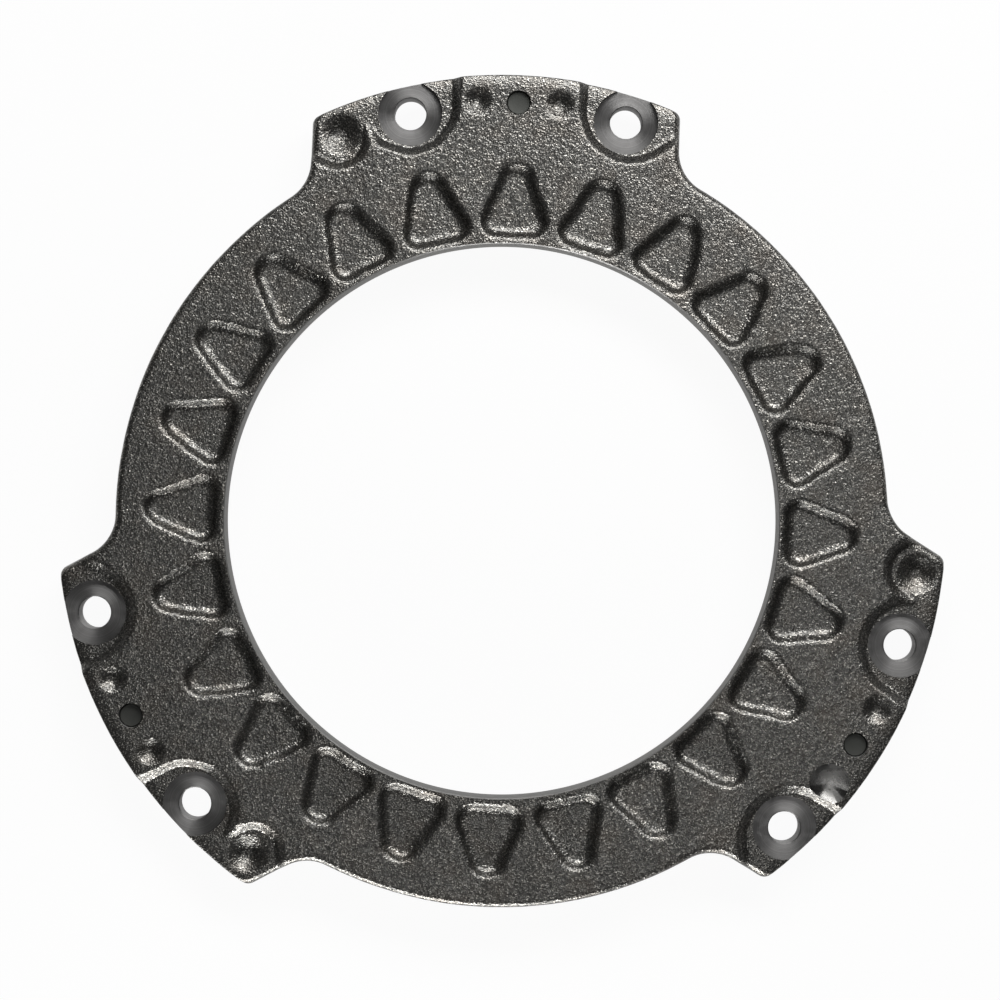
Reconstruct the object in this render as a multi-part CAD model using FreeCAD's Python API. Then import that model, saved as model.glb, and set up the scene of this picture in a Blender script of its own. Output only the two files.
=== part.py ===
import FreeCAD, Part
import math
import os
from FreeCAD import Vector

# Cast clutch cover ring with three bolting lobes and three pressed locating dowels.
# Millimetres. The bore axis is Z, the machined mounting face is z = 0, the cast face looks up,
# and the middle of the first lobe points along +Y.

# Ring
thickness = 12.0                # mounting face to cast face
bore_diameter = 159.0
ring_width = 31.5               # bore to the ring's edge at the cast face, before its rounding
bore_chamfer = 0.4
side_draft = 2.0                # degrees, the cast sides lean outwards towards the mounting face
edge_rounding = 1.5             # cast edge round the top of the outline, drawn as a flat band
deburr = 0.4                    # broken edge round the mounting face

# Screws and dowels
screw_circle_gap = 9.0          # ring's edge to the circle that screws and dowels share
screw_angle = 15.0              # each side of the lobe middle
screw_clearance_diameter = 9.2  # for M8
spotface_diameter = 18.5
spotface_depth = 4.2            # below the cast face
dowel_diameter = 7.0
dowel_chamfer = 0.5
dowel_projection = 5.0          # below the mounting face
dowel_sink = 1.5                # upper end below the cast face

# Lobes
lobe_count = 3
lobe_rim = 8.0                  # screw circle to the lobe's edge, which is turned, so without draft
lobe_past_screw = 15.54         # screw to the side that the short pad runs out of
lobe_past_dimple = 8.12         # large dimple to the side that the long pad runs out of
lobe_corner_radius = 2.3
lobe_root_radius = 12.8         # concave corner between lobe and ring

# Pads, the cast recesses for the screw heads
pad_depth = 2.4
pad_draft = 42.0                # degrees from upright
pad_radius = 13.8               # round the screw, halfway up the wall
pad_past_screw = 0.54           # its centre, further from the lobe middle than the screw
pad_above_screw = 2.89          # and further out
short_pad_exit = 33.0           # degrees from straight down, where the short pad leaves its round
long_pad_exit = 22.0            # the same for the long pad and its second round
tail_radius = 7.9               # the long pad's second round, about the large dimple
tail_past_dimple = 0.32         # its centre, further from the lobe middle than the dimple
tail_below_dimple = 1.32        # and nearer the bore
nose_radius = 2.9               # the cast nose between the two rounds

# Pockets round the bore
pocket_count = 24
pocket_gap = 2.3                # bore to the nearest wall
pocket_length = 19.8            # from there to the far end
pocket_web = 4.44               # least width of metal between neighbours
pocket_base_corner = 3.9
pocket_tip_radius = 4.9
pocket_depth = 2.4
pocket_draft = 42.0             # degrees from upright
pocket_round_growth = 0.85      # how far the corner radii follow the draft

# Dimples
small_dimple_angle = 5.6        # each side of the lobe middle
small_dimple_diameter = 7.4
small_dimple_depth = 2.1
large_dimple_angle = 25.0
large_dimple_diameter = 11.8
large_dimple_depth = 2.9        # below the pad
dimple_floor_share = 0.3        # blunt bottom, as a share of the mouth
dimple_circle_gap = 0.4         # screw circle to the dimples' own
balance_drill_lobe = 2          # this lobe has one small dimple drilled out to balance the cover
balance_drill_angle = -6.4
balance_drill_diameter = 12.0
drill_point_angle = 118.0

# Worked out from the sizes above
bore_radius = bore_diameter / 2
ring_radius = bore_radius + ring_width
pitch_radius = ring_radius + screw_circle_gap
lobe_radius = pitch_radius + lobe_rim
dimple_radius = pitch_radius + dimple_circle_gap
pocket_base = bore_radius + pocket_gap
pocket_tip = pocket_base + pocket_length
pad_floor = thickness - pad_depth
spotface_level = thickness - spotface_depth
dowel_top = thickness - dowel_sink
dowel_radius = dowel_diameter / 2
clear = 2.0                     # how far cutting solids reach past what they cut
up = Vector(0, 0, 1)
axis_point = Vector(0, 0, 0)


def polar(radius, degrees, z=0.0):
    """Point at an angle counted anticlockwise from +Y, the middle of the first lobe."""
    turn = math.radians(degrees)
    return Vector(-radius * math.sin(turn), radius * math.cos(turn), z)


def turned(point, degrees):
    """The point, turned about the bore axis."""
    turn = math.radians(degrees)
    x = point.x * math.cos(turn) - point.y * math.sin(turn)
    y = point.x * math.sin(turn) + point.y * math.cos(turn)
    return Vector(x, y, point.z)


# In the first lobe's frame, on +X
screw_place = polar(pitch_radius, -screw_angle)
dimple_place = polar(dimple_radius, -large_dimple_angle)
short_side = screw_place.x + lobe_past_screw
long_side = dimple_place.x + lobe_past_dimple


def line(start, end):
    return Part.LineSegment(start, end).toShape()


def arc_about(centre, start, end, towards):
    """Arc from start to end about centre, passing on the side that towards points to."""
    radius = (start - centre).Length
    middle = centre + Vector(towards).normalize() * radius
    return Part.Arc(start, middle, end).toShape()


def rotated(shape, degrees):
    copy = shape.copy()
    copy.rotate(axis_point, up, degrees)
    return copy


def lobe_side(side, lean, inset):
    """Points and centres down one straight side of a lobe, for side on +X, in the lobe's frame."""
    x = side + lean - inset
    ring = ring_radius + lean - inset
    outer = lobe_radius - inset
    corner_radius = lobe_corner_radius - inset
    root_radius = lobe_root_radius - lean + inset
    corner_y = math.sqrt((outer - corner_radius) ** 2 - (x - corner_radius) ** 2)
    corner = Vector(x - corner_radius, corner_y, 0)
    root_y = math.sqrt((ring + root_radius) ** 2 - (x + root_radius) ** 2)
    root = Vector(x + root_radius, root_y, 0)
    return {
        "corner": corner,
        "on_lobe": corner * (outer / (outer - corner_radius)),
        "side_top": Vector(x, corner_y, 0),
        "side_foot": Vector(x, root_y, 0),
        "root": root,
        "on_ring": root * (ring / (ring + root_radius)),
    }


def outline(z, lean, inset):
    """Outer outline of the cover at one height.

    The cast sides stand out by lean. The turned edge of a lobe doesn't lean. All of it is set in
    by inset at a rounded or broken edge.
    """
    edges = []
    pitch = 360.0 / lobe_count
    short = lobe_side(short_side, lean, inset)
    long = lobe_side(long_side, lean, inset)
    long = {name: Vector(-p.x, p.y, 0) for name, p in long.items()}

    for lobe in range(lobe_count):
        turn = lobe * pitch

        def at(point):
            moved = turned(point, turn)
            return Vector(moved.x, moved.y, z)

        def arc(centre, start, end, towards):
            edges.append(arc_about(at(centre), at(start), at(end), at(towards) - at(axis_point)))

        arc(short["root"], short["on_ring"], short["side_foot"],
            (short["on_ring"] + short["side_foot"]) * 0.5 - short["root"])
        edges.append(line(at(short["side_foot"]), at(short["side_top"])))
        arc(short["corner"], short["side_top"], short["on_lobe"],
            (short["side_top"] + short["on_lobe"]) * 0.5 - short["corner"])
        arc(axis_point, short["on_lobe"], long["on_lobe"], Vector(0, 1, 0))
        arc(long["corner"], long["on_lobe"], long["side_top"],
            (long["side_top"] + long["on_lobe"]) * 0.5 - long["corner"])
        edges.append(line(at(long["side_top"]), at(long["side_foot"])))
        arc(long["root"], long["side_foot"], long["on_ring"],
            (long["on_ring"] + long["side_foot"]) * 0.5 - long["root"])
        next_start = turned(short["on_ring"], pitch)
        arc(axis_point, long["on_ring"], next_start, long["on_ring"] + next_start)
    return Part.Wire(edges)


def plate():
    """The blank: drafted sides between a cast upper edge and a broken lower edge."""
    edge_z = thickness - edge_rounding

    def lean(z):
        return (edge_z - z) * math.tan(math.radians(side_draft))

    steps = [(0.0, lean(0.0), deburr), (deburr, lean(deburr), 0.0), (edge_z, 0.0, 0.0),
             (thickness, 0.0, edge_rounding)]
    return Part.makeLoft([outline(*step) for step in steps], True, True)


def wall_steps(top, floor, draft):
    """How far a recess wall stands out at its foot and at its rim, leaning about its middle."""
    reach = (top - floor) / 2 * math.tan(math.radians(draft))
    return [(-reach, floor), (reach, top)]


def recess(outline_at, steps):
    """Cutting solid whose outline follows the wall up to the face."""
    return Part.makeLoft([outline_at(grow, z) for grow, z in steps], True, True)


def pocket_outline(grow, z):
    """Rounded triangle with its base towards the bore, its walls moved out by grow."""
    # halfway up the wall, the base corner keeps half the web from the line between two pockets
    half_pitch = math.pi / pocket_count
    corner_y = pocket_base + pocket_base_corner
    kept = pocket_web / 2 + pocket_base_corner
    corner_x = (corner_y * math.sin(half_pitch) - kept) / math.cos(half_pitch)
    # there the side touches the rounds of the base corner and the tip, which gives its lean
    rise = pocket_tip - pocket_tip_radius - corner_y
    bigger = pocket_tip_radius - pocket_base_corner
    lean = math.acos(bigger / math.hypot(corner_x, rise)) - math.atan2(rise, corner_x)
    normal = Vector(math.cos(lean), math.sin(lean), 0)
    side = Vector(corner_x, corner_y, 0).dot(normal) + pocket_base_corner + grow

    corner_radius = pocket_base_corner + pocket_round_growth * grow
    tip_radius = pocket_tip_radius + pocket_round_growth * grow
    corner_y = pocket_base - grow + corner_radius
    corner_x = (side - corner_radius - corner_y * normal.y) / normal.x
    tip_centre = Vector(0, (side - tip_radius) / normal.y, z)
    right = Vector(corner_x, corner_y, z)
    left = Vector(-corner_x, corner_y, z)
    normal_left = Vector(-normal.x, normal.y, 0)
    down = Vector(0, -1, 0)
    points = {
        "base_right": right + down * corner_radius,
        "side_right": right + normal * corner_radius,
        "tip_right": tip_centre + normal * tip_radius,
        "tip_left": tip_centre + normal_left * tip_radius,
        "side_left": left + normal_left * corner_radius,
        "base_left": left + down * corner_radius,
    }
    return Part.Wire([
        arc_about(right, points["base_right"], points["side_right"], normal + down),
        line(points["side_right"], points["tip_right"]),
        arc_about(tip_centre, points["tip_right"], points["tip_left"], Vector(0, 1, 0)),
        line(points["tip_left"], points["side_left"]),
        arc_about(left, points["side_left"], points["base_left"], normal_left + down),
        line(points["base_left"], points["base_right"]),
    ])


def pocket_cutter():
    """One cast pocket on the first lobe's middle line."""
    return recess(pocket_outline, wall_steps(thickness, thickness - pocket_depth, pocket_draft))


def pad_outline(long, grow, z):
    """Outline of a pad on -X, moved out by grow. It runs out past the lobe's edge and side."""
    reach_y = lobe_radius + clear
    reach_x = (long_side if long else short_side) + 2 * clear
    radius = pad_radius + grow
    first = Vector(-screw_place.x - pad_past_screw, screw_place.y + pad_above_screw, z)
    start = Vector(first.x + radius, reach_y, z)
    edges = [line(start, first + Vector(radius, 0, 0))]

    def leave(centre, round_radius, from_point, degrees, towards):
        """Arc on to the point that lies degrees past straight down, then straight to the side."""
        angle = math.radians(degrees)
        off = centre + Vector(-math.sin(angle), -math.cos(angle), 0) * round_radius
        edges.append(arc_about(centre, from_point, off, towards))
        run = (off.x + reach_x) / math.cos(angle)
        end = off + Vector(-math.cos(angle), math.sin(angle), 0) * run
        edges.append(line(off, end))
        return end

    if long:
        second = Vector(-dimple_place.x - tail_past_dimple, dimple_place.y - tail_below_dimple, z)
        tail = tail_radius + grow
        nose = nose_radius - grow
        gap = second - first
        apart = gap.Length
        along = Vector(gap).normalize()
        across = Vector(-along.y, along.x, 0)
        run = ((radius + nose) ** 2 - (tail + nose) ** 2 + apart ** 2) / (2 * apart)
        rise = math.sqrt((radius + nose) ** 2 - run ** 2)
        nose_centre = first + along * run + across * rise
        on_first = first + (nose_centre - first) * (radius / (radius + nose))
        on_second = second + (nose_centre - second) * (tail / (tail + nose))
        edges.append(arc_about(first, first + Vector(radius, 0, 0), on_first, Vector(1, -1, 0)))
        middle = (on_first + on_second) * 0.5 - nose_centre
        edges.append(arc_about(nose_centre, on_first, on_second, middle))
        end = leave(second, tail, on_second, long_pad_exit, Vector(1, -1.2, 0))
    else:
        end = leave(first, radius, first + Vector(radius, 0, 0), short_pad_exit, Vector(0.2, -1, 0))
    far = Vector(-reach_x, reach_y, z)
    edges.append(line(end, far))
    edges.append(line(far, start))
    return Part.Wire(edges)


def pad_cutter(long):
    """A cast pad recess, drawn on -X."""
    steps = wall_steps(thickness, pad_floor, pad_draft)
    return recess(lambda grow, z: pad_outline(long, grow, z), steps)


def dimple_cutter(diameter, depth, face):
    """A cast cone with a blunt bottom, on the bore axis."""
    radius = diameter / 2
    floor_radius = radius * dimple_floor_share
    profile = [(0, face - depth), (floor_radius, face - depth), (radius, face), (0, face)]
    points = [Vector(r, 0, z) for r, z in profile]
    return Part.Face(Part.makePolygon(points + points[:1])).revolve(axis_point, up, 360)


def drill_point(diameter, face):
    """The cone that a drill's point leaves, on the bore axis."""
    depth = diameter / 2 / math.tan(math.radians(drill_point_angle / 2))
    cone = Part.makeCone(0, diameter / 2, depth, Vector(0, 0, face - depth), up)
    return cone.fuse(Part.makeCylinder(diameter / 2, clear, Vector(0, 0, face), up))


def screw_cutter():
    """Clearance hole and the spotface above it, on the bore axis."""
    radius = screw_clearance_diameter / 2
    hole = Part.makeCylinder(radius, thickness + 2 * clear, Vector(0, 0, -clear), up)
    seat = Part.makeCylinder(spotface_diameter / 2, spotface_depth + clear,
                             Vector(0, 0, spotface_level), up)
    return hole.fuse(seat)


def bore_cutter():
    """The machined bore with a chamfer at each end."""
    bore = Part.makeCylinder(bore_radius, thickness + 2 * clear, Vector(0, 0, -clear), up)
    upper = Part.makeCone(bore_radius, bore_radius + bore_chamfer, bore_chamfer,
                          Vector(0, 0, thickness - bore_chamfer), up)
    lower = Part.makeCone(bore_radius + bore_chamfer, bore_radius, bore_chamfer,
                          axis_point, up)
    return bore.fuse([upper, lower])


def placed(shape, radius, degrees):
    """A solid drawn on the bore axis, moved out to a radius and angle."""
    copy = shape.copy()
    copy.translate(polar(radius, degrees))
    return copy


def cover_casting():
    lobe_pitch = 360.0 / lobe_count
    long_pad = pad_cutter(True)
    short_pad = pad_cutter(False).mirror(axis_point, Vector(1, 0, 0))
    pocket = pocket_cutter()
    small = dimple_cutter(small_dimple_diameter, small_dimple_depth, thickness)
    large = dimple_cutter(large_dimple_diameter, large_dimple_depth, pad_floor)
    balance = drill_point(balance_drill_diameter, thickness)
    screw = screw_cutter()
    dowel_hole = Part.makeCylinder(dowel_radius, thickness + 2 * clear, Vector(0, 0, -clear), up)

    body = plate().cut(bore_cutter())
    body = body.cut([rotated(pad, lobe * lobe_pitch)
                     for lobe in range(lobe_count) for pad in (long_pad, short_pad)])
    tools = [rotated(pocket, n * 360.0 / pocket_count) for n in range(pocket_count)]
    for lobe in range(lobe_count):
        middle = lobe * lobe_pitch
        tools.append(placed(dowel_hole, pitch_radius, middle))
        tools.append(placed(large, dimple_radius, middle + large_dimple_angle))
        for side in (-1, 1):
            tools.append(placed(screw, pitch_radius, middle + side * screw_angle))
            if lobe == balance_drill_lobe and side < 0:
                tools.append(placed(balance, dimple_radius, middle + balance_drill_angle))
            else:
                tools.append(placed(small, dimple_radius, middle + side * small_dimple_angle))
    return body.cut(tools)


def dowel(degrees):
    """Hardened pin with both ends chamfered, pressed into the casting."""
    length = dowel_top + dowel_projection
    pin = Part.makeCylinder(dowel_radius, length, Vector(0, 0, -dowel_projection), up)
    ends = [e for e in pin.Edges if len(e.Vertexes) == 1]
    return placed(pin.makeChamfer(dowel_chamfer, ends), pitch_radius, degrees)


pieces = {"cover_casting": cover_casting()}
for lobe, name in enumerate(("top", "left", "right")):
    pieces[name + "_locating_dowel"] = dowel(lobe * 360.0 / lobe_count)

os.makedirs("parts", exist_ok=True)
for name, shape in pieces.items():
    solid = shape.removeSplitter()
    if len(solid.Solids) == 1:
        solid = solid.Solids[0]
    solid.exportStep("parts/" + name + ".step")
    print(name, "valid" if solid.isValid() else "NOT VALID", len(solid.Faces), "faces",
          round(solid.Volume), "mm3", "solids", len(shape.Solids))
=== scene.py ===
import math

import bpy
import numpy as np
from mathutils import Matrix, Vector


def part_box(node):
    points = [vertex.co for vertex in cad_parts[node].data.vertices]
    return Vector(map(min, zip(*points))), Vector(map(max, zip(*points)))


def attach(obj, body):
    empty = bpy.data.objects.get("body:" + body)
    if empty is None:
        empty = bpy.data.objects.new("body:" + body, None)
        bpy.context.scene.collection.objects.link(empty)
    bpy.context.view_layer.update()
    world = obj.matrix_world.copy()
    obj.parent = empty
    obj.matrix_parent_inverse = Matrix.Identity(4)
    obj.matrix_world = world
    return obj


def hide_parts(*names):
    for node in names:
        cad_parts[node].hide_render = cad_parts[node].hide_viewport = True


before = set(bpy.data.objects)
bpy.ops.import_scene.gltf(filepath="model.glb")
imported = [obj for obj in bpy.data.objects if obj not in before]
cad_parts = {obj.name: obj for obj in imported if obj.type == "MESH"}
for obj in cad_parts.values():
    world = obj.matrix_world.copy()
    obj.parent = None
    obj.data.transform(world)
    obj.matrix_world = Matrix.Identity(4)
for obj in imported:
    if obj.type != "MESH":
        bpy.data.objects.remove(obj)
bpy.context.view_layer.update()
print("frame loaded")

# Cast iron clutch cover ring, seen straight from above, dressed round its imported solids.
# Lengths in this script are millimetres until a mesh is written, in the frame's own axes:
# the bore axis is Z, the mounting face is z = 0, and the first lobe points along +Y.
mm = 0.001
turn = 2 * math.pi


# Shared helpers

def linearColour(code):
    # sRGB hex to the linear values that a shader reads
    parts = [int(code[i:i + 2], 16) / 255 for i in (1, 3, 5)]
    return [p / 12.92 if p <= 0.04045 else ((p + 0.055) / 1.055) ** 2.4 for p in parts] + [1.0]


def addNode(tree, kind, settings=None, links=None):
    # one node: settings go to its own properties or its sockets, links to its inputs
    node = tree.nodes.new(kind)
    for name, value in (settings or {}).items():
        if isinstance(name, int) or name in node.inputs:
            node.inputs[name].default_value = value
        else:
            setattr(node, name, value)
    for name, source in (links or {}).items():
        tree.links.new(source, node.inputs[name])
    return node


def newMaterial(name):
    material = bpy.data.materials.new(name)
    material.use_nodes = True
    tree = material.node_tree
    tree.nodes.clear()
    return material, tree


def writeMesh(name, points, quads, triangles=(), materialIndex=None):
    # numpy points in millimetres and index arrays go into one mesh in metres
    mesh = bpy.data.meshes.new(name)
    corners = np.concatenate([np.asarray(quads, int).ravel(), np.asarray(triangles, int).ravel()])
    counts = np.concatenate([np.full(len(quads), 4), np.full(len(triangles), 3)]).astype(int)
    starts = np.concatenate([[0], np.cumsum(counts)[:-1]])
    mesh.vertices.add(len(points))
    mesh.vertices.foreach_set("co", (np.asarray(points, float) * mm).astype(np.float32).ravel())
    mesh.loops.add(len(corners))
    mesh.loops.foreach_set("vertex_index", corners.astype(np.int32))
    mesh.polygons.add(len(counts))
    mesh.polygons.foreach_set("loop_start", starts.astype(np.int32))
    if materialIndex is not None:
        mesh.polygons.foreach_set("material_index", np.asarray(materialIndex, np.int32))
    mesh.update(calc_edges=True)
    mesh.validate()
    return mesh


def newObject(mesh, materials):
    piece = bpy.data.objects.new(mesh.name, mesh)
    bpy.context.scene.collection.objects.link(piece)
    for material in materials:
        mesh.materials.append(material)
    return piece


def smoothBlend(low, high, value):
    # rises from 0 at low to 1 at high with level ends
    part = np.clip((value - low) / (high - low), 0, 1)
    return part * part * (3 - 2 * part)


def latticeNoise(points, grain, seed):
    # random numbers stand on a cubic lattice of pitch grain, and each point takes the smooth
    # blend of the eight round it, so the result runs between -1 and 1
    size = 64
    table = np.random.default_rng(seed).uniform(-1, 1, (size, size, size))
    place = points / grain
    cell = np.floor(place).astype(int)
    part = place - cell
    part = part * part * (3 - 2 * part)
    result = 0
    for dx in (0, 1):
        for dy in (0, 1):
            for dz in (0, 1):
                x, y, z = ((cell[..., k] + d) % size for k, d in enumerate((dx, dy, dz)))
                weight = np.ones(points.shape[:-1])
                for k, d in enumerate((dx, dy, dz)):
                    weight = weight * (part[..., k] if d else 1 - part[..., k])
                result = result + weight * table[x, y, z]
    return result


def spun(profile, centre, segments, materialIndex):
    # a profile of (radius, height) carried round an upright axis; where it starts and ends on
    # the axis, the ends close in fans
    inner = [p for p in profile if p[0] > 0]
    angle = np.arange(segments) * turn / segments
    rings = np.array(inner, float)
    x = centre[0] + rings[:, 0, None] * np.cos(angle)
    y = centre[1] + rings[:, 0, None] * np.sin(angle)
    z = np.broadcast_to(rings[:, 1, None], x.shape)
    points = np.stack([x, y, z], -1).reshape(-1, 3)
    ends = np.array([[centre[0], centre[1], profile[0][1]], [centre[0], centre[1], profile[-1][1]]])
    count = len(inner)
    here = np.arange(segments)
    after = (here + 1) % segments
    row = np.arange(count - 1)[:, None] * segments
    quads = np.stack([row + here, row + after, row + segments + after, row + segments + here], -1)
    first, last = count * segments, count * segments + 1
    top = (count - 1) * segments
    fans = np.concatenate([np.stack([np.full(segments, first), after, here], -1),
                           np.stack([np.full(segments, last), top + here, top + after], -1)])
    quads = quads.reshape(-1, 4)
    index = np.full(len(quads) + len(fans), materialIndex)
    return np.concatenate([points, ends]), quads, fans, index


def joined(solids):
    # several solids' arrays as one
    points, quads, fans, index = [], [], [], []
    offset = 0
    for p, q, f, m in solids:
        points.append(p)
        quads.append(q + offset)
        fans.append(f + offset)
        index.append((m[:len(q)], m[len(q):]))
        offset += len(p)
    order = np.concatenate([a for a, b in index] + [b for a, b in index])
    return np.concatenate(points), np.concatenate(quads), np.concatenate(fans), order


# Materials

ironLook = {
    "skin": "#747370",          # oiled, heat-darkened casting skin
    "skinDark": "#535250",
    "skinBrown": "#6d6359",
    "bareSpeckAndGlint": "#c2beb6",         # lighter specks on the tops of the finest grains: partly bare metal, partly painted glint
    "steepWallPaintedShade": 0.75,         # painted shade: how far the skin's colour is darkened on steep walls
    "grit": 2.0,                # mm between the grains that the sand leaves
    "gritHeight": 0.145,        # mm
    "fineGrit": 0.9,
    "fineGritHeight": 0.13,
    "sparkle": 0.42,            # the finest grains, each a glint; their tops also take the lighter specks, which are partly painted glint
    "sparkleHeight": 0.14,
    "bend": 1.6,                # mm between the bends that keep the grit from lining up
    "bendReach": 1.2,           # mm
    "patch": 9.0,               # mm between heat-browned patches
    "cloud": 2.5,               # mm between duller and brighter spots on cut iron
    "cut": "#9a9998",           # fresh cut iron
    "cutDark": "#696867",
    "cutRimPaintedShade": 0.8,              # painted shade: how dark the cut is at the outer edge of a spotface, under its wall
    "bored": "#b0afad",         # the bore's turned wall
    "boredDark": "#8c8b89",
    "drilled": "#8f8e8c",       # the drilled cone, dark where no light fans out
    "drilledDark": "#5c5b59",
    "ground": "#b2b3b4",
    "toolPitch": 0.35,          # mm between the marks of a cutting tool, coarser than real
    "toolHeight": 0.018,        # mm, deeper than real for the same reason
    "dowel": "#4d4e4b",
    "dowelSmear": 1.6,          # mm
}


def perMetre(millimetres):
    # how many grains of that size stand in a metre, which is what a texture's scale means
    return 1000.0 / millimetres


def sandCastIron():
    # grey iron cast in green sand, shot-blasted and oiled: a dull dark skin whose grains each
    # catch the light on one small flank
    material, tree = newMaterial("grey cast iron, sand-cast skin")
    place = addNode(tree, "ShaderNodeTexCoord")
    bend = addNode(tree, "ShaderNodeTexNoise",
                   {"Scale": perMetre(ironLook["bend"]), "Detail": 2.0},
                   {"Vector": place.outputs["Object"]})
    shift = addNode(tree, "ShaderNodeVectorMath",
                    {"operation": "MULTIPLY_ADD", 1: (ironLook["bendReach"] * mm,) * 3},
                    {0: bend.outputs["Color"], 2: place.outputs["Object"]})
    grit = addNode(tree, "ShaderNodeTexNoise",
                   {"Scale": perMetre(ironLook["grit"]), "Detail": 1.0, "Roughness": 0.5},
                   {"Vector": shift.outputs["Vector"]})
    fine = addNode(tree, "ShaderNodeTexNoise",
                   {"Scale": perMetre(ironLook["fineGrit"]), "Detail": 1.0, "Roughness": 0.5},
                   {"Vector": place.outputs["Object"]})
    patch = addNode(tree, "ShaderNodeTexNoise",
                    {"Scale": perMetre(ironLook["patch"]), "Detail": 3.0},
                    {"Vector": place.outputs["Object"]})
    tone = addNode(tree, "ShaderNodeValToRGB", None, {"Fac": fine.outputs["Fac"]})
    tone.color_ramp.elements[0].position = 0.35
    tone.color_ramp.elements[0].color = linearColour(ironLook["skinDark"])
    tone.color_ramp.elements[1].position = 0.65
    tone.color_ramp.elements[1].color = linearColour(ironLook["skin"])
    brownShare = addNode(tree, "ShaderNodeMapRange",
                         {"From Min": 0.48, "From Max": 0.75, "To Max": 0.35},
                         {"Value": patch.outputs["Fac"]})
    colour = addNode(tree, "ShaderNodeMix", {"data_type": "RGBA"},
                     {"Factor": brownShare.outputs["Result"], "A": tone.outputs["Color"]})
    colour.inputs["B"].default_value = linearColour(ironLook["skinBrown"])
    glint = addNode(tree, "ShaderNodeTexNoise",
                    {"Scale": perMetre(ironLook["sparkle"]), "Detail": 0.0},
                    {"Vector": place.outputs["Object"]})
    # painted glint: the tops of the finest grains take a lighter colour, partly bare metal and
    # partly standing in for their highlights
    speckAndGlintShare = addNode(tree, "ShaderNodeMapRange",
                        {"From Min": 0.60, "From Max": 0.76, "To Max": 0.9},
                        {"Value": glint.outputs["Fac"]})
    speckledWithGlints = addNode(tree, "ShaderNodeMix", {"data_type": "RGBA"},
                    {"Factor": speckAndGlintShare.outputs["Result"], "A": colour.outputs["Result"]})
    speckledWithGlints.inputs["B"].default_value = linearColour(ironLook["bareSpeckAndGlint"])
    surface = addNode(tree, "ShaderNodeNewGeometry")
    facing = addNode(tree, "ShaderNodeSeparateXYZ", None, {0: surface.outputs["Normal"]})
    # painted shade: the colour darkens as the surface turns steep, standing in for the shade on the
    # walls
    shade = addNode(tree, "ShaderNodeMapRange",
                    {"From Min": 0.80, "From Max": 0.68, "To Min": 1.0,
                     "To Max": ironLook["steepWallPaintedShade"]}, {"Value": facing.outputs["Z"]})
    shaded = addNode(tree, "ShaderNodeVectorMath", {"operation": "SCALE"},
                     {0: speckledWithGlints.outputs["Result"], "Scale": shade.outputs["Result"]})
    roughness = addNode(tree, "ShaderNodeMapRange",
                        {"From Min": 0.3, "From Max": 0.7, "To Min": 0.35, "To Max": 0.24},
                        {"Value": fine.outputs["Fac"]})
    coarseBump = addNode(tree, "ShaderNodeBump",
                         {"Strength": 1.0, "Distance": ironLook["gritHeight"] * mm},
                         {"Height": grit.outputs["Fac"]})
    fineBump = addNode(tree, "ShaderNodeBump",
                       {"Strength": 1.0, "Distance": ironLook["fineGritHeight"] * mm},
                       {"Height": fine.outputs["Fac"], "Normal": coarseBump.outputs["Normal"]})
    glintBump = addNode(tree, "ShaderNodeBump",
                        {"Strength": 1.0, "Distance": ironLook["sparkleHeight"] * mm},
                        {"Height": glint.outputs["Fac"], "Normal": fineBump.outputs["Normal"]})
    shader = addNode(tree, "ShaderNodeBsdfPrincipled", {"Metallic": 0.92},
                     {"Base Color": shaded.outputs["Vector"],
                      "Roughness": roughness.outputs["Result"],
                      "Normal": glintBump.outputs["Normal"]})
    addNode(tree, "ShaderNodeOutputMaterial", None, {"Surface": shader.outputs["BSDF"]})
    return material


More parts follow.
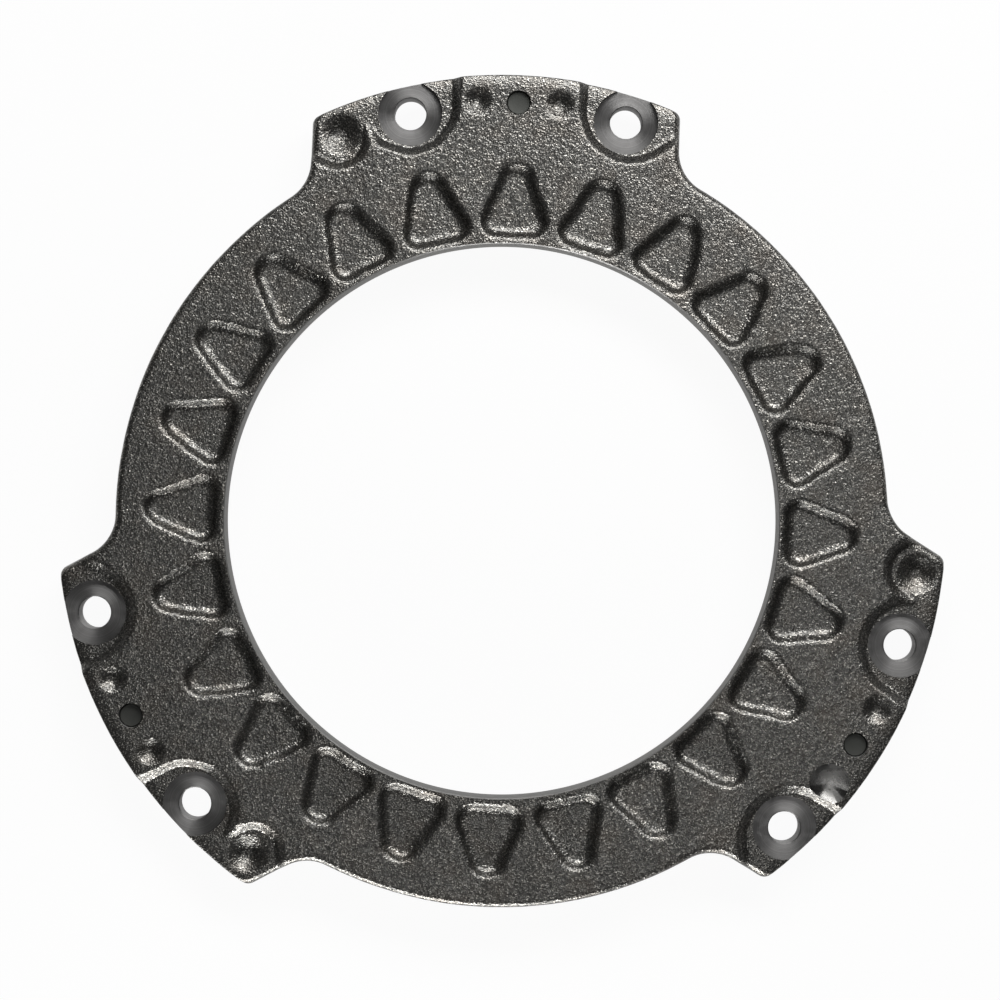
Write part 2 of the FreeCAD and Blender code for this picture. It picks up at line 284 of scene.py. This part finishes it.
def cutIron(name, colourCode, darkCode, roughness, anisotropy, edgeTint=1.0):
    # grey iron cut by a rotating tool: fine rings about the tool's axis spread each highlight
    # into a fan across them; the UV map holds the place from that axis in centimetres. A low
    # edge tint is for a wall that is only seen at a shallow angle, down its own tool marks.
    material, tree = newMaterial(name)
    uv = addNode(tree, "ShaderNodeUVMap", {"uv_map": "toolPlace"})
    reach = addNode(tree, "ShaderNodeVectorMath", {"operation": "LENGTH"},
                    {0: uv.outputs["UV"]})
    place = addNode(tree, "ShaderNodeTexCoord")
    height = addNode(tree, "ShaderNodeSeparateXYZ", None, {0: place.outputs["Object"]})
    level = addNode(tree, "ShaderNodeMath", {"operation": "MULTIPLY", 1: 100.0},
                    {0: height.outputs["Z"]})
    travel = addNode(tree, "ShaderNodeMath", {"operation": "ADD"},
                     {0: reach.outputs["Value"], 1: level.outputs["Value"]})
    marks = addNode(tree, "ShaderNodeTexNoise",
                    {"noise_dimensions": "1D", "Scale": 10.0 / ironLook["toolPitch"],
                     "Detail": 3.0, "Roughness": 0.7},
                    {"W": travel.outputs["Value"]})
    cloud = addNode(tree, "ShaderNodeTexNoise",
                    {"Scale": perMetre(ironLook["cloud"]), "Detail": 3.0},
                    {"Vector": place.outputs["Object"]})
    tone = addNode(tree, "ShaderNodeMix", {"data_type": "RGBA"},
                   {"Factor": marks.outputs["Fac"]})
    tone.inputs["A"].default_value = linearColour(darkCode)
    tone.inputs["B"].default_value = linearColour(colourCode)
    # painted light: the cut is lightened near a tool's axis as a painted highlight and darkened
    # towards its outer edge as painted shade under the wall; faces away from any tool take the
    # darker value throughout
    paintedShadeByReach = addNode(tree, "ShaderNodeMapRange",
                       {"From Min": 0.55, "From Max": 0.85, "To Min": 1.05,
                        "To Max": ironLook["cutRimPaintedShade"]}, {"Value": reach.outputs["Value"]})
    shaded = addNode(tree, "ShaderNodeVectorMath", {"operation": "SCALE"},
                     {0: tone.outputs["Result"], "Scale": paintedShadeByReach.outputs["Result"]})
    rough = addNode(tree, "ShaderNodeMapRange",
                    {"From Min": 0.3, "From Max": 0.7, "To Min": roughness - 0.06,
                     "To Max": roughness + 0.08}, {"Value": cloud.outputs["Fac"]})
    bump = addNode(tree, "ShaderNodeBump",
                   {"Strength": 1.0, "Distance": ironLook["toolHeight"] * mm},
                   {"Height": marks.outputs["Fac"]})
    # the marks run round the axis, and the highlight spreads across them
    along = addNode(tree, "ShaderNodeVectorMath", {"operation": "CROSS_PRODUCT", 0: (0, 0, 1)},
                    {1: uv.outputs["UV"]})
    surface = addNode(tree, "ShaderNodeNewGeometry")
    across = addNode(tree, "ShaderNodeVectorMath", {"operation": "CROSS_PRODUCT"},
                     {0: surface.outputs["Normal"], 1: along.outputs["Vector"]})
    tangent = addNode(tree, "ShaderNodeVectorMath", {"operation": "NORMALIZE"},
                      {0: across.outputs["Vector"]})
    shader = addNode(tree, "ShaderNodeBsdfPrincipled",
                     {"Metallic": 1.0, "Anisotropic": anisotropy,
                      "Specular Tint": (edgeTint, edgeTint, edgeTint, 1.0)},
                     {"Base Color": shaded.outputs["Vector"], "Roughness": rough.outputs["Result"],
                      "Normal": bump.outputs["Normal"], "Tangent": tangent.outputs["Vector"]})
    addNode(tree, "ShaderNodeOutputMaterial", None, {"Surface": shader.outputs["BSDF"]})
    return material


def blackedSteel():
    # hardened dowel pin, ground and blackened: even, dark and nearly dull
    material, tree = newMaterial("hardened steel, ground and blackened")
    place = addNode(tree, "ShaderNodeTexCoord")
    smear = addNode(tree, "ShaderNodeTexNoise",
                    {"Scale": perMetre(ironLook["dowelSmear"]), "Detail": 3.0},
                    {"Vector": place.outputs["Object"]})
    rough = addNode(tree, "ShaderNodeMapRange",
                    {"From Min": 0.3, "From Max": 0.7, "To Min": 0.5, "To Max": 0.6},
                    {"Value": smear.outputs["Fac"]})
    shader = addNode(tree, "ShaderNodeBsdfPrincipled",
                     {"Metallic": 0.85, "Base Color": linearColour(ironLook["dowel"])},
                     {"Roughness": rough.outputs["Result"]})
    addNode(tree, "ShaderNodeOutputMaterial", None, {"Surface": shader.outputs["BSDF"]})
    return material


skinIron = sandCastIron()
facedIron = cutIron("grey cast iron, spotfaced", ironLook["cut"], ironLook["cutDark"], 0.48, 0.8)
boredIron = cutIron("grey cast iron, turned", ironLook["bored"], ironLook["boredDark"],
                    0.45, 0.3, 0.45)
groundIron = cutIron("grey cast iron, ground mounting face", ironLook["ground"],
                     ironLook["cutDark"], 0.30, 0.6)
drilledIron = cutIron("grey cast iron, drilled", ironLook["drilled"], ironLook["drilledDark"],
                      0.26, 0.8)
dowelSteel = blackedSteel()
castingMaterials = [skinIron, facedIron, boredIron, groundIron, drilledIron]
skinSlot, facedSlot, boredSlot, groundSlot, drilledSlot = range(5)
print("materials made")


# Casting

casting = {
    "thickness": 12.0,
    "boreRadius": 79.5,
    "boreChamfer": 0.4,
    "boreStock": 1.0,           # what the boring tool takes off the cast bore
    "ringRadius": 111.0,
    "lobeCount": 3,
    "lobeRadius": 128.0,
    "shortSide": 46.6,
    "longSide": 59.0,
    "cornerRadius": 2.3,
    "rootRadius": 12.8,
    "sideDraft": math.radians(2.0),
    "draftTop": 1.5,            # the draft starts this far under the face
    "ringEdge": 2.0,            # cast edge round the ring
    "lobeEdge": 2.5,            # and down the lobes' sides
    "lobeRim": 0.5,             # their outer edge is crisper, past a face that falls off gently
    "fallStart": 124.0,
    "fallRadius": 15.0,
    "lobeFade": (math.radians(24.0), math.radians(34.0)),   # from the lobe's edge to the ring's
    "rimFade": (math.radians(-1.5), math.radians(0.2)),     # and from the rim's, at its end
    "brokenEdge": 0.4,
    "unevenness": [(14.0, 0.10), (5.0, 0.06), (2.2, 0.035), (1.1, 0.03)],  # grain and height
    "columns": 1920,            # round the bore
    "faceRows": 120,            # from the bore to the edge
    "edgeRows": 8,
    "sideRows": 6,
    "triangles": 186000,
}

recess = {
    "padDepth": 2.7,
    "padDraft": math.radians(42.0),
    "padRim": 1.6,
    "padFoot": 0.3,
    "firstRadius": 13.8,
    "firstCentre": (31.6, 118.8),
    "shortShift": 0.7,          # the short pads stand this much further out
    "shortExit": math.radians(33.0),
    "secondRadius": 7.9,
    "secondCentre": (51.2, 107.8),
    "longExit": math.radians(22.0),
    "noseBlend": 3.5,
    "pocketCount": 24,
    "pocketBase": 81.8,
    "pocketTip": 101.6,
    "pocketHalf": math.radians(20.2),
    "pocketCorner": 3.9,
    "pocketTipRadius": 4.9,
    "pocketDepth": 2.7,
    "pocketDraft": math.radians(40.5),
    "pocketRim": 2.2,
    "pocketFoot": 3.2,
    "pocketInset": 0.3,         # the rounded wall stands this much inside the drawn one
    "pocketScatter": 0.35,      # how far a pocket may be off its place
    "pocketShallowest": 0.9,    # share of the depth
    "wobble": [(6.0, 0.25, 11), (2.5, 0.12, 12)],       # of every wall: grain, reach and seed
    "dimpleRadius": 120.4,
    "smallDimple": (math.radians(5.6), 4.1, 2.2),       # angle, mouth radius, depth
    "largeDimple": (math.radians(25.0), 5.9, 3.0),
    "dimpleBlend": 0.35,
    "dimpleFloor": 0.75,        # share of the cone's depth at which it turns level
    "dimpleWobble": 0.3,        # share of the wobble
    "drilledLobe": 2,           # this lobe has a drilled cone in place of one small dimple
}


def outlineRadius(angle, lean, inset):
    # How far the outline stands from the bore axis at an angle anticlockwise from +Y. A lobe is
    # its round edge, a small corner arc, a straight side and a concave arc into the ring, and
    # each stretch gives the distance along the ray as a line or a circle is met.
    pitch = turn / casting["lobeCount"]
    within = (angle + pitch / 2) % pitch - pitch / 2
    lean = np.broadcast_to(lean, within.shape)
    inset = np.broadcast_to(inset, within.shape)
    onLong = within > 0
    bearing = np.abs(within)
    side = np.where(onLong, casting["longSide"], casting["shortSide"]) + lean - inset
    ring = casting["ringRadius"] + lean - inset
    outer = casting["lobeRadius"] - inset
    corner = casting["cornerRadius"] - inset
    root = casting["rootRadius"] - lean + inset
    cornerX = side - corner
    cornerY = np.sqrt((outer - corner) ** 2 - cornerX ** 2)
    rootX = side + root
    rootY = np.sqrt((ring + root) ** 2 - rootX ** 2)
    rayX, rayY = np.sin(bearing), np.cos(bearing)

    def met(x, y, radius, sign):
        along = x * rayX + y * rayY
        return along + sign * np.sqrt(np.maximum(along ** 2 - x ** 2 - y ** 2 + radius ** 2, 0))

    result = np.where(bearing < np.arctan2(cornerX, cornerY), outer,
                      met(cornerX, cornerY, corner, 1))
    result = np.where(bearing < np.arctan2(side, cornerY), result,
                      side / np.maximum(rayX, 0.01))
    result = np.where(bearing < np.arctan2(side, rootY), result, met(rootX, rootY, root, -1))
    return np.where(bearing < np.arctan2(rootX, rootY), result, ring)


def roundedCorner(x, y, centre, radius, firstNormal, secondNormal):
    # Signed distance to the corner of two straight walls, rounded about centre. Between the two
    # normals it is the distance to the arc, elsewhere that to the nearer wall.
    relX, relY = x - centre[0], y - centre[1]
    first = relX * firstNormal[0] + relY * firstNormal[1]
    second = relX * secondNormal[0] + relY * secondNormal[1]
    dot = firstNormal[0] * secondNormal[0] + firstNormal[1] * secondNormal[1]
    between = (first > dot * second) & (second > dot * first)
    return np.where(between, np.hypot(relX, relY), np.maximum(first, second)) - radius


def pocketDistance(x, y):
    # distance to the middle of a pocket's wall, less than nothing inside: the furthest out of
    # three rounded corners, two at the base near the bore and one at the tip
    half = recess["pocketHalf"]
    corner, tip = recess["pocketCorner"], recess["pocketTipRadius"]
    tipY = recess["pocketTip"] - tip
    cornerY = recess["pocketBase"] + corner
    cornerX = (tip - corner + (tipY - cornerY) * math.sin(half)) / math.cos(half)
    across = np.abs(x)
    slanted = (math.cos(half), math.sin(half))
    base = roundedCorner(across, y, (cornerX, cornerY), corner, slanted, (0.0, -1.0))
    top = roundedCorner(x, y, (0.0, tipY), tip, slanted, (-slanted[0], slanted[1]))
    return np.maximum(base, top)


def padDistance(x, y):
    # distance to the middle of a pad's wall, less than nothing inside; the short pad lies on +x
    # and the long one, which runs on round a second centre, on -x
    across = np.abs(x)
    first, radius = recess["firstCentre"], recess["firstRadius"]

    def rounded(centre, size, exitAngle, shift=0.0):
        return roundedCorner(across - shift, y, centre, size, (-1.0, 0.0),
                             (math.sin(exitAngle), -math.cos(exitAngle)))

    short = rounded(first, radius, recess["shortExit"], recess["shortShift"])
    slot = np.hypot(across - first[0], np.maximum(first[1] - y, 0)) - radius
    tail = rounded(recess["secondCentre"], recess["secondRadius"], recess["longExit"])
    blend = recess["noseBlend"]
    share = np.maximum(blend - np.abs(slot - tail), 0) / blend
    long = np.minimum(slot, tail) - share ** 2 * blend / 4
    return np.where(x > 0, short, long)


def wallHeight(distance, depth, draft, rim, foot):
    # Height of a recess over its face at a distance from the wall's middle: level floor, foot
    # arc, straight drafted wall, rim arc, level face.
    lean = math.pi / 2 - draft
    half = depth / 2 * math.tan(draft)
    rimEnd = half + rim * math.tan(lean / 2)
    footEnd = -half - foot * math.tan(lean / 2)
    rimStart = rimEnd - rim * math.sin(lean)
    footStart = footEnd + foot * math.sin(lean)
    wall = distance / math.tan(draft) - depth / 2
    rimArc = np.sqrt(np.maximum(rim ** 2 - (rimEnd - distance) ** 2, 0)) - rim
    footArc = foot - depth - np.sqrt(np.maximum(foot ** 2 - (distance - footEnd) ** 2, 0))
    height = np.where(distance > rimStart, rimArc, wall)
    height = np.where(distance < footStart, np.maximum(footArc, -depth), height)
    height = np.where(distance >= rimEnd, 0.0, height)
    return np.where(distance <= footEnd, -depth, np.clip(height, -depth, 0))


def turnedBack(x, y, angle):
    # the place as seen in a frame that is turned anticlockwise by angle
    return (x * np.cos(angle) + y * np.sin(angle), y * np.cos(angle) - x * np.sin(angle))


def faceHeight(x, y, wobble):
    # the cast face over the mounting face, without its grain
    bearing = np.arctan2(-x, y)
    pocketPitch = turn / recess["pocketCount"]
    number = np.rint(bearing / pocketPitch).astype(int) % recess["pocketCount"]
    u, v = turnedBack(x, y, number * pocketPitch)
    # each pocket of the pattern is a little off its place and depth
    random = np.random.default_rng(5)
    scatter = recess["pocketScatter"]
    shift = random.uniform(-scatter, scatter, (recess["pocketCount"], 2))[number]
    scale = random.uniform(recess["pocketShallowest"], 1.0, recess["pocketCount"])[number]
    pocket = wallHeight(pocketDistance(u - shift[..., 0], v - shift[..., 1]) + wobble
                        + recess["pocketInset"],
                        recess["pocketDepth"], recess["pocketDraft"], recess["pocketRim"],
                        recess["pocketFoot"]) * scale

    lobePitch = turn / casting["lobeCount"]
    lobe = np.rint(bearing / lobePitch).astype(int) % casting["lobeCount"]
    u, v = turnedBack(x, y, lobe * lobePitch)
    pad = wallHeight(padDistance(u, v) + wobble, recess["padDepth"], recess["padDraft"],
                     recess["padRim"], recess["padFoot"])
    height = casting["thickness"] + np.minimum(pocket, pad)

    def dimple(angle, mouth, depth):
        # a cone with a soft rim and a blunt bottom, cut into what is there: the cone is met by
        # the face above and by a level floor below, each over a short blend
        centreX = -recess["dimpleRadius"] * math.sin(angle)
        centreY = recess["dimpleRadius"] * math.cos(angle)
        reach = np.hypot(u - centreX, v - centreY) + wobble * recess["dimpleWobble"]
        cone = depth * (reach / mouth - 1)
        soft = recess["dimpleBlend"]
        rim = np.minimum(cone, 0) - np.maximum(soft - np.abs(cone), 0) ** 2 / (4 * soft)
        level = depth * recess["dimpleFloor"]
        over = rim + level
        bottom = np.maximum(over, 0) + np.maximum(soft - np.abs(over), 0) ** 2 / (4 * soft)
        return bottom - level

    angle, mouth, depth = recess["smallDimple"]
    leftSmall = dimple(angle, mouth, depth)
    rightSmall = np.where(lobe == recess["drilledLobe"], 0.0, dimple(-angle, mouth, depth))
    large = dimple(*recess["largeDimple"])
    past = np.maximum(np.hypot(x, y) - casting["fallStart"], 0)
    return height + leftSmall + rightSmall + large - past ** 2 / (2 * casting["fallRadius"])


def castGrid():
    # The casting before it is machined: rows run from inside the bore out over the cast face,
    # round the cast edge, down the side, back over the mounting face and up to the start, and
    # each row runs once round.
    columns = casting["columns"]
    angle = np.arange(columns) * turn / columns
    pitch = turn / casting["lobeCount"]
    towards = (angle + pitch / 2) % pitch - pitch / 2
    bearing = np.abs(towards)
    lobeShare = 1 - smoothBlend(*casting["lobeFade"], bearing)
    rounding = casting["ringEdge"] + (casting["lobeEdge"] - casting["ringEdge"]) * lobeShare
    arcEnd = np.where(towards > 0, math.asin(casting["longSide"] / casting["lobeRadius"]),
                      math.asin(casting["shortSide"] / casting["lobeRadius"]))
    fadeStart, fadeEnd = casting["rimFade"]
    arcShare = 1 - smoothBlend(arcEnd + fadeStart, arcEnd + fadeEnd, bearing)
    rounding = rounding + (casting["lobeRim"] - rounding) * arcShare
    start = casting["boreRadius"] - casting["boreStock"]
    faceEnd = outlineRadius(angle, 0.0, rounding)
    share = np.linspace(0, 1, casting["faceRows"])[:, None]
    radius = start + (faceEnd - start) * share
    normalOut = np.zeros_like(radius)

    edge = np.linspace(0, math.pi / 2, casting["edgeRows"] + 1)[1:, None]
    edgeRadius = np.stack([outlineRadius(angle, 0.0, rounding * (1 - math.sin(e)))
                           for e in edge[:, 0]])
    edgeDrop = rounding * (1 - np.cos(edge))

    def ray(r):
        return -r * np.sin(angle), r * np.cos(angle)

    x, y = ray(np.concatenate([radius, edgeRadius]))
    flat = np.stack([x, y, np.zeros_like(x)], -1)
    wobble = sum(reach * latticeNoise(flat, size, seed) for size, reach, seed in recess["wobble"])
    z = faceHeight(x, y, wobble)
    z[casting["faceRows"]:] -= edgeDrop
    out = np.concatenate([normalOut, np.broadcast_to(np.sin(edge), edgeDrop.shape)])

    sideTop = z[-1]
    low = casting["brokenEdge"]
    fall = np.linspace(0, 1, casting["sideRows"] + 1)[1:, None]
    sideZ = sideTop + (low - sideTop) * fall
    leanAt = (casting["thickness"] - casting["draftTop"] - sideZ) * math.tan(casting["sideDraft"])
    sideRadius = np.stack([outlineRadius(angle, np.maximum(l, 0), 0.0) for l in leanAt])
    footRadius = outlineRadius(angle, leanAt[-1], low)[None]
    sideX, sideY = ray(np.concatenate([sideRadius, footRadius, np.full((1, columns), start)]))
    x, y = np.concatenate([x, sideX]), np.concatenate([y, sideY])
    z = np.concatenate([z, sideZ, np.zeros((2, columns))])
    out = np.concatenate([out, np.ones_like(sideZ), np.zeros((2, columns))])

    # the grain moves the skin inwards along its normal, and dies out towards the mounting face
    points = np.stack([x, y, z], -1)
    grain = 0
    for size, height in casting["unevenness"]:
        grain = grain - height * (0.5 + 0.5 * latticeNoise(points, size, int(size * 10)))
    skin = np.ones(len(z))[:, None]
    skin[-2:] = 0
    skin[-3] = 0.2
    grain = grain * skin
    distance = np.hypot(x, y)
    points[..., 0] += grain * out * x / distance
    points[..., 1] += grain * out * y / distance
    points[..., 2] += grain * np.sqrt(1 - out ** 2) * skin

    rows = len(points)
    here = np.arange(columns)
    after = (here + 1) % columns
    row = np.arange(rows)[:, None] * columns
    below = (np.arange(rows)[:, None] + 1) % rows * columns
    quads = np.stack([row + here, row + after, below + after, below + here], -1)
    index = np.full((rows, columns), skinSlot)
    index[-2] = groundSlot
    return points.reshape(-1, 3), quads.reshape(-1, 4), index.ravel()


def atPolar(radius, degrees):
    # place at a bearing anticlockwise from +Y
    bearing = math.radians(degrees)
    return -radius * math.sin(bearing), radius * math.cos(bearing)


machined = {
    "pitchRadius": 120.0,
    "screwAngle": 15.0,
    "holeRadius": 4.6,
    "holeBreak": 0.25,
    "seatRadius": 9.25,
    "seatLevel": 7.8,
    "dowelRadius": 3.52,        # a hair over the pin, so the two skins don't coincide
    "drillAngle": -6.4,
    "drillRadius": 6.0,
    "drillSlope": math.radians(59.0),
    "segments": 96,
    "boreSegments": 480,
    "overrun": 2.0,             # how far the tools reach past the casting
    "sharpFrom": math.radians(38),      # a steeper edge than this is shaded as one
}


def toolCentres():
    # every place where a tool turned, besides the bore axis
    centres = {}
    for lobe in range(casting["lobeCount"]):
        middle = lobe * 360.0 / casting["lobeCount"]
        for side in (-1, 1):
            centres["screw", lobe, side] = atPolar(machined["pitchRadius"],
                                                   middle + side * machined["screwAngle"])
        centres["dowel", lobe, 0] = atPolar(machined["pitchRadius"], middle)
    drilled = recess["drilledLobe"] * 360.0 / casting["lobeCount"] + machined["drillAngle"]
    centres["drill", recess["drilledLobe"], 0] = atPolar(recess["dimpleRadius"], drilled)
    return centres


def cutters():
    # everything that the machines take off, as closed solids that don't touch one another
    above, below = casting["thickness"] + machined["overrun"], -machined["overrun"]
    bore, chamfer = casting["boreRadius"], casting["boreChamfer"]
    face = casting["thickness"]
    solids = [spun([(0, below), (bore + chamfer, below), (bore + chamfer, 0.0),
                    (bore, chamfer), (bore, face - chamfer), (bore + chamfer, face),
                    (bore + chamfer, above), (0, above)],
                   (0.0, 0.0), machined["boreSegments"], boredSlot)]
    hole, seat, level = machined["holeRadius"], machined["seatRadius"], machined["seatLevel"]
    relief = machined["holeBreak"]
    drill = machined["drillRadius"]
    drillDepth = drill / math.tan(machined["drillSlope"])
    profiles = {
        "screw": [(0, below), (hole, below), (hole, level - relief), (hole + relief, level),
                  (seat, level), (seat, above), (0, above)],
        "dowel": [(0, below), (machined["dowelRadius"], below), (machined["dowelRadius"], above),
                  (0, above)],
        "drill": [(0, face - drillDepth), (drill, face), (drill, above), (0, above)],
    }
    for (kind, lobe, side), centre in toolCentres().items():
        slot = drilledSlot if kind == "drill" else facedSlot
        solids.append(spun(profiles[kind], centre, machined["segments"], slot))
    return joined(solids)


def outward(mesh):
    # turns a closed mesh right side out if its volume comes out below nothing
    count = len(mesh.vertices)
    points = np.empty(count * 3)
    mesh.vertices.foreach_get("co", points)
    points = points.reshape(-1, 3)
    mesh.calc_loop_triangles()
    corners = np.empty(len(mesh.loop_triangles) * 3, np.int32)
    mesh.loop_triangles.foreach_get("vertices", corners)
    a, b, c = points[corners.reshape(-1, 3)].transpose(1, 0, 2)
    if np.einsum("ij,ij->", a, np.cross(b, c)) < 0:
        mesh.flip_normals()


def applied(piece):
    # the piece's modifiers become its mesh
    graph = bpy.context.evaluated_depsgraph_get()
    mesh = bpy.data.meshes.new_from_object(piece.evaluated_get(graph), depsgraph=graph)
    old = piece.data
    piece.modifiers.clear()
    mesh.name = old.name
    piece.data = mesh
    bpy.data.meshes.remove(old)


def nameToolPlaces(mesh):
    # the UV map gives each corner its place from the nearest tool's axis, in centimetres
    centres = list(toolCentres().items())
    places = np.array([c for name, c in centres])
    reach = np.array([machined["seatRadius"] if name[0] == "screw" else
                      machined["drillRadius"] for name, c in centres]) + 0.3
    vertices = np.empty(len(mesh.vertices) * 3)
    mesh.vertices.foreach_get("co", vertices)
    flat = vertices.reshape(-1, 3)[:, :2] / mm
    corners = np.empty(len(mesh.loops), np.int32)
    mesh.loops.foreach_get("vertex_index", corners)
    starts = np.empty(len(mesh.polygons), np.int32)
    totals = np.empty(len(mesh.polygons), np.int32)
    index = np.empty(len(mesh.polygons), np.int32)
    middles = np.empty(len(mesh.polygons) * 3)
    mesh.polygons.foreach_get("loop_start", starts)
    mesh.polygons.foreach_get("loop_total", totals)
    mesh.polygons.foreach_get("material_index", index)
    mesh.polygons.foreach_get("center", middles)
    middles = middles.reshape(-1, 3)[:, :2] / mm
    away = np.linalg.norm(middles[:, None] - places[None], axis=2)
    nearest = away.argmin(1)
    near = (away[np.arange(len(away)), nearest] < reach[nearest]) \
        & np.isin(index, [facedSlot, drilledSlot])
    centre = np.where(near[:, None], places[nearest], 0.0)
    perCorner = np.repeat(centre, totals, axis=0)
    place = (flat[corners] - perCorner) / 10.0
    layer = mesh.uv_layers.new(name="toolPlace")
    layer.data.foreach_set("uv", place.astype(np.float32).ravel())


def buildCasting():
    points, quads, index = castGrid()
    mesh = writeMesh("castingSkin", points, quads, (), index)
    outward(mesh)
    piece = newObject(mesh, castingMaterials)
    thin = piece.modifiers.new("thin", "DECIMATE")
    thin.ratio = casting["triangles"] / (2 * len(quads))
    applied(piece)
    print("casting skin:", len(piece.data.polygons), "faces")

    tools = newObject(writeMesh("machining", *cutters()), castingMaterials)
    outward(tools.data)
    cut = piece.modifiers.new("machining", "BOOLEAN")
    cut.operation = "DIFFERENCE"
    cut.object = tools
    cut.solver = "MANIFOLD"
    applied(piece)
    bpy.data.objects.remove(tools)
    piece.data.polygons.foreach_set("use_smooth", np.ones(len(piece.data.polygons), bool))
    piece.data.set_sharp_from_angle(angle=machined["sharpFrom"])
    nameToolPlaces(piece.data)
    piece.name = "coverCasting"
    print("casting machined:", len(piece.data.polygons), "faces")
    return piece


castingPiece = buildCasting()
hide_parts("cover_casting")
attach(castingPiece, "root")


# Dowels

dowelShape = {
    "chamfer": 0.4,
    "dish": [(0.0, 0.18), (0.35, 0.15), (0.65, 0.08), (0.88, 0.0)],  # share of the radius, depth
    "segments": 64,
    "sharpFrom": math.radians(30),
}


def buildDowel(node):
    # a ground pin with chamfered ends, each a little dished
    low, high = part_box(node)
    centre = ((low[0] + high[0]) / 2 / mm, (low[1] + high[1]) / 2 / mm)
    radius = (high[0] - low[0]) / 2 / mm
    bottom, top = low[2] / mm, high[2] / mm
    bevel, dish = dowelShape["chamfer"], dowelShape["dish"]
    profile = [(radius * share, bottom + depth) for share, depth in dish]
    profile += [(radius, bottom + bevel), (radius, top - bevel)]
    profile += [(radius * share, top - depth) for share, depth in reversed(dish)]
    mesh = writeMesh("skin_" + node, *spun(profile, centre, dowelShape["segments"], 0))
    outward(mesh)
    piece = newObject(mesh, [dowelSteel])
    mesh.polygons.foreach_set("use_smooth", np.ones(len(mesh.polygons), bool))
    mesh.set_sharp_from_angle(angle=dowelShape["sharpFrom"])
    return piece


for node in ("top_locating_dowel", "left_locating_dowel", "right_locating_dowel"):
    dowelPiece = buildDowel(node)
    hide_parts(node)
    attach(dowelPiece, "root")
print("dowels made")


# Floor, light and camera

studio = {
    "floorLevel": -5.05,        # the cover stands on its dowels
    "floorSize": 3000.0,
    "floorShade": 0.06,         # how much of the shadow the white ground keeps
    "floorNear": 1.05,          # how bright it shows in metal that stands close to it
    "floorFar": 0.06,           # and in metal further off
    "floorReach": 40.0,         # where the first has faded into the second
    "cameraDistance": 822.0,
    "cameraX": -0.73,
    "cameraY": 5.98,
    "cameraTurn": math.radians(2.34),
    "lens": 101.84,
    "sensorWidth": 36.0,
    "lights": {                 # power in watts, place, width and depth
        "key light": (7.0, (150, 560, 580), 900, 300),
        "low light": (1.7, (-60, -400, 45), 320, 110),
        "top light": (1.15, (120, -140, 1300), 320, 320),
    },
    "worldStrength": 0.04,
}


def whiteFloor():
    # a plain white ground: it shows as white to the camera and in reflections, and keeps a
    # little of the shadow
    material, tree = newMaterial("white paper ground")
    rays = addNode(tree, "ShaderNodeLightPath")
    bright = addNode(tree, "ShaderNodeMapRange",
                     {"From Min": 0.0, "From Max": studio["floorReach"] * mm,
                      "To Min": studio["floorNear"], "To Max": studio["floorFar"]},
                     {"Value": rays.outputs["Ray Length"]})
    mirrored = addNode(tree, "ShaderNodeMath", {"operation": "MULTIPLY"},
                       {0: rays.outputs["Is Glossy Ray"], 1: bright.outputs["Result"]})
    seen = addNode(tree, "ShaderNodeMath", {"operation": "MAXIMUM"},
                   {0: rays.outputs["Is Camera Ray"], 1: mirrored.outputs["Value"]})
    share = addNode(tree, "ShaderNodeMath",
                    {"operation": "MULTIPLY", 1: 1 - studio["floorShade"]},
                    {0: seen.outputs["Value"]})
    paper = addNode(tree, "ShaderNodeBsdfDiffuse", {"Color": (0.9, 0.9, 0.9, 1)})
    white = addNode(tree, "ShaderNodeEmission", {"Strength": 1.0})
    mixed = addNode(tree, "ShaderNodeMixShader", None,
                    {0: share.outputs["Value"], 1: paper.outputs["BSDF"],
                     2: white.outputs["Emission"]})
    addNode(tree, "ShaderNodeOutputMaterial", None, {"Surface": mixed.outputs["Shader"]})
    return material


half = studio["floorSize"] / 2
level = studio["floorLevel"]
floorPoints = [(-half, -half, level), (half, -half, level), (half, half, level),
               (-half, half, level)]
floor = newObject(writeMesh("floor", floorPoints, [(0, 1, 2, 3)]), [whiteFloor()])


def softLight(name, power, place, width, depth):
    lamp = bpy.data.lights.new(name, "AREA")
    lamp.shape = "RECTANGLE"
    lamp.size, lamp.size_y = width * mm, depth * mm
    lamp.energy = power
    holder = bpy.data.objects.new(name, lamp)
    holder.location = [p * mm for p in place]
    holder.rotation_euler = Vector(place).to_track_quat("Z", "Y").to_euler()
    bpy.context.scene.collection.objects.link(holder)


for name, values in studio["lights"].items():
    softLight(name, *values)

world = bpy.data.worlds.new("studio")
bpy.context.scene.world = world
world.use_nodes = True
world.node_tree.nodes["Background"].inputs["Color"].default_value = (1, 1, 1, 1)
world.node_tree.nodes["Background"].inputs["Strength"].default_value = studio["worldStrength"]

cameraData = bpy.data.cameras.new("camera")
cameraData.lens = studio["lens"]
cameraData.sensor_width = studio["sensorWidth"]
camera = bpy.data.objects.new("camera", cameraData)
camera.location = [studio[k] * mm for k in ("cameraX", "cameraY", "cameraDistance")]
camera.rotation_euler = (0, 0, studio["cameraTurn"])
bpy.context.scene.collection.objects.link(camera)
bpy.context.scene.camera = camera
bpy.context.scene.view_settings.view_transform = "Standard"
print("studio set")
